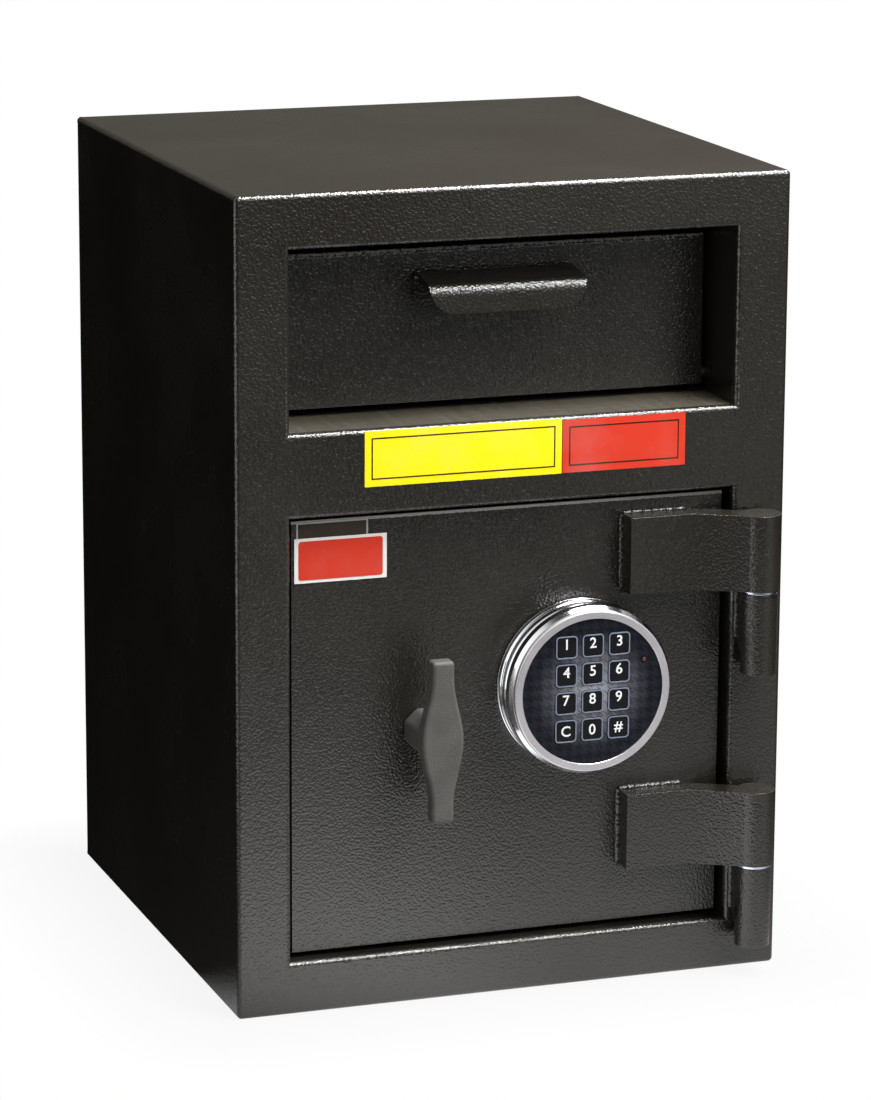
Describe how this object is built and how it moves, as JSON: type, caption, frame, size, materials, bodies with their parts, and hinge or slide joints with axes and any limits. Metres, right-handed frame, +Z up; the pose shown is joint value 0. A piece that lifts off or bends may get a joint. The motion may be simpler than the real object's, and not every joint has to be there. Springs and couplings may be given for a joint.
{
  "type": "drop safe with deposit drawer",
  "caption": "Upright steel drop safe with a recessed tip-out deposit drawer above and a hinged door with T-handle, boltwork and round push-button lock below.",
  "frame": {"origin": "middle of the base, on the surface the safe stands on", "axes": "+Z up, -Y to the front with the door and the drawer, +X to the right seen from the front, on the hinge side"},
  "size_m": [0.3556, 0.3843, 0.508],
  "materials": {
    "powder_coat": "dark charcoal-brown powder coat with a fine leather-like texture, satin",
    "bare_steel": "machined steel, lightly oiled",
    "zinc_plate": "bright zinc plate",
    "grey_casting": "matte grey cast handle",
    "zinc_casting": "die-cast zinc, dull",
    "brass": "machined brass, dull",
    "chrome": "polished chrome plate",
    "satin_ring": "satin metallic ring",
    "keypad_face": "blue-black face with a small woven pattern",
    "key_plastic": "black keys with a pale blue-grey rim and white digits",
    "circuit_board": "green board",
    "led_lens": "dim red lens",
    "battery_case": "plain dark printed case",
    "cable_jacket": "black jacket"
  },
  "bodies": {
    "safe_body": {"body_wrap": "powder_coat", "front_frame": "powder_coat", "back_panel": "powder_coat", "deposit_throat": "powder_coat", "drop_shelf": "powder_coat", "anti_fish_baffle": "powder_coat", "door_stop": "powder_coat", "drawer_rod": "bare_steel", "rod_clip": "bare_steel", "hinge_barrel_upper": "powder_coat", "hinge_barrel_lower": "powder_coat", "hinge_pin_upper": "bare_steel", "hinge_pin_lower": "bare_steel", "hinge_washer_upper": "bare_steel", "hinge_washer_lower": "bare_steel"},
    "deposit_drawer": {"drawer_front": "powder_coat", "drawer_pull": "powder_coat", "drawer_tray": "powder_coat", "drawer_cheek_left": "powder_coat", "drawer_cheek_right": "powder_coat"},
    "door": {"door_plate": "powder_coat", "hinge_arm_upper": "powder_coat", "hinge_arm_lower": "powder_coat", "bolt_guide": "powder_coat", "dead_bar": "powder_coat", "handle_bushing": "brass", "hard_plate": "bare_steel", "lock_case": "zinc_casting", "lock_cover": "zinc_plate", "lock_screw_upper": "zinc_plate", "lock_screw_lower": "zinc_plate", "keypad_cable": "cable_jacket", "keypad_base": "zinc_casting", "keypad_housing": "chrome", "keypad_bezel": "satin_ring", "keypad_face": "keypad_face", "circuit_board": "circuit_board", "battery": "battery_case", "led_lens": "led_lens"},
    "handle": {"t_handle": "grey_casting", "handle_spindle": "bare_steel", "drive_cam": "bare_steel", "spindle_clip": "bare_steel"},
    "boltwork": {"bolt_bar": "bare_steel", "bolt_upper": "zinc_plate", "bolt_middle": "zinc_plate", "bolt_lower": "zinc_plate"},
    "lock_dead_bolt": {"lock_bolt": "brass"},
    "key_1_body": {"key_1": "key_plastic"},
    "key_2_body": {"key_2": "key_plastic"},
    "key_3_body": {"key_3": "key_plastic"},
    "key_4_body": {"key_4": "key_plastic"},
    "key_5_body": {"key_5": "key_plastic"},
    "key_6_body": {"key_6": "key_plastic"},
    "key_7_body": {"key_7": "key_plastic"},
    "key_8_body": {"key_8": "key_plastic"},
    "key_9_body": {"key_9": "key_plastic"},
    "key_clear_body": {"key_clear": "key_plastic"},
    "key_0_body": {"key_0": "key_plastic"},
    "key_hash_body": {"key_hash": "key_plastic"}
  },
  "joints": [
    {"name": "drawer_tip", "type": "hinge", "parent": "safe_body", "child": "deposit_drawer", "pos_m": [0, -0.1238, 0.375], "axis": [1, 0, 0], "range_deg": [0, 62]},
    {"name": "door_swing", "type": "hinge", "parent": "safe_body", "child": "door", "pos_m": [0.1555, -0.1938, 0.159], "axis": [0, 0, 1], "range_deg": [0, 180]},
    {"name": "handle_turn", "type": "hinge", "parent": "door", "child": "handle", "pos_m": [-0.055, -0.1678, 0.17225], "axis": [0, 1, 0], "range_deg": [0, 90]},
    {"name": "boltwork_slide", "type": "slide", "parent": "door", "child": "boltwork", "axis": [-1, 0, 0], "range_m": [0, 0.024]},
    {"name": "lock_bolt_slide", "type": "slide", "parent": "door", "child": "lock_dead_bolt", "axis": [0, 0, -1], "range_m": [0, 0.01]},
    {"name": "key_1_press", "type": "slide", "parent": "door", "child": "key_1_body", "axis": [0, 1, 0], "range_m": [0, 0.0008], "stiffness_N_per_m": 1500},
    {"name": "key_2_press", "type": "slide", "parent": "door", "child": "key_2_body", "axis": [0, 1, 0], "range_m": [0, 0.0008], "stiffness_N_per_m": 1500},
    {"name": "key_3_press", "type": "slide", "parent": "door", "child": "key_3_body", "axis": [0, 1, 0], "range_m": [0, 0.0008], "stiffness_N_per_m": 1500},
    {"name": "key_4_press", "type": "slide", "parent": "door", "child": "key_4_body", "axis": [0, 1, 0], "range_m": [0, 0.0008], "stiffness_N_per_m": 1500},
    {"name": "key_5_press", "type": "slide", "parent": "door", "child": "key_5_body", "axis": [0, 1, 0], "range_m": [0, 0.0008], "stiffness_N_per_m": 1500},
    {"name": "key_6_press", "type": "slide", "parent": "door", "child": "key_6_body", "axis": [0, 1, 0], "range_m": [0, 0.0008], "stiffness_N_per_m": 1500},
    {"name": "key_7_press", "type": "slide", "parent": "door", "child": "key_7_body", "axis": [0, 1, 0], "range_m": [0, 0.0008], "stiffness_N_per_m": 1500},
    {"name": "key_8_press", "type": "slide", "parent": "door", "child": "key_8_body", "axis": [0, 1, 0], "range_m": [0, 0.0008], "stiffness_N_per_m": 1500},
    {"name": "key_9_press", "type": "slide", "parent": "door", "child": "key_9_body", "axis": [0, 1, 0], "range_m": [0, 0.0008], "stiffness_N_per_m": 1500},
    {"name": "key_clear_press", "type": "slide", "parent": "door", "child": "key_clear_body", "axis": [0, 1, 0], "range_m": [0, 0.0008], "stiffness_N_per_m": 1500},
    {"name": "key_0_press", "type": "slide", "parent": "door", "child": "key_0_body", "axis": [0, 1, 0], "range_m": [0, 0.0008], "stiffness_N_per_m": 1500},
    {"name": "key_hash_press", "type": "slide", "parent": "door", "child": "key_hash_body", "axis": [0, 1, 0], "range_m": [0, 0.0008], "stiffness_N_per_m": 1500}
  ],
  "couplings": [
    {"joint": "boltwork_slide", "follows": "handle_turn", "m_per_rad": 0.015278}
  ]
}
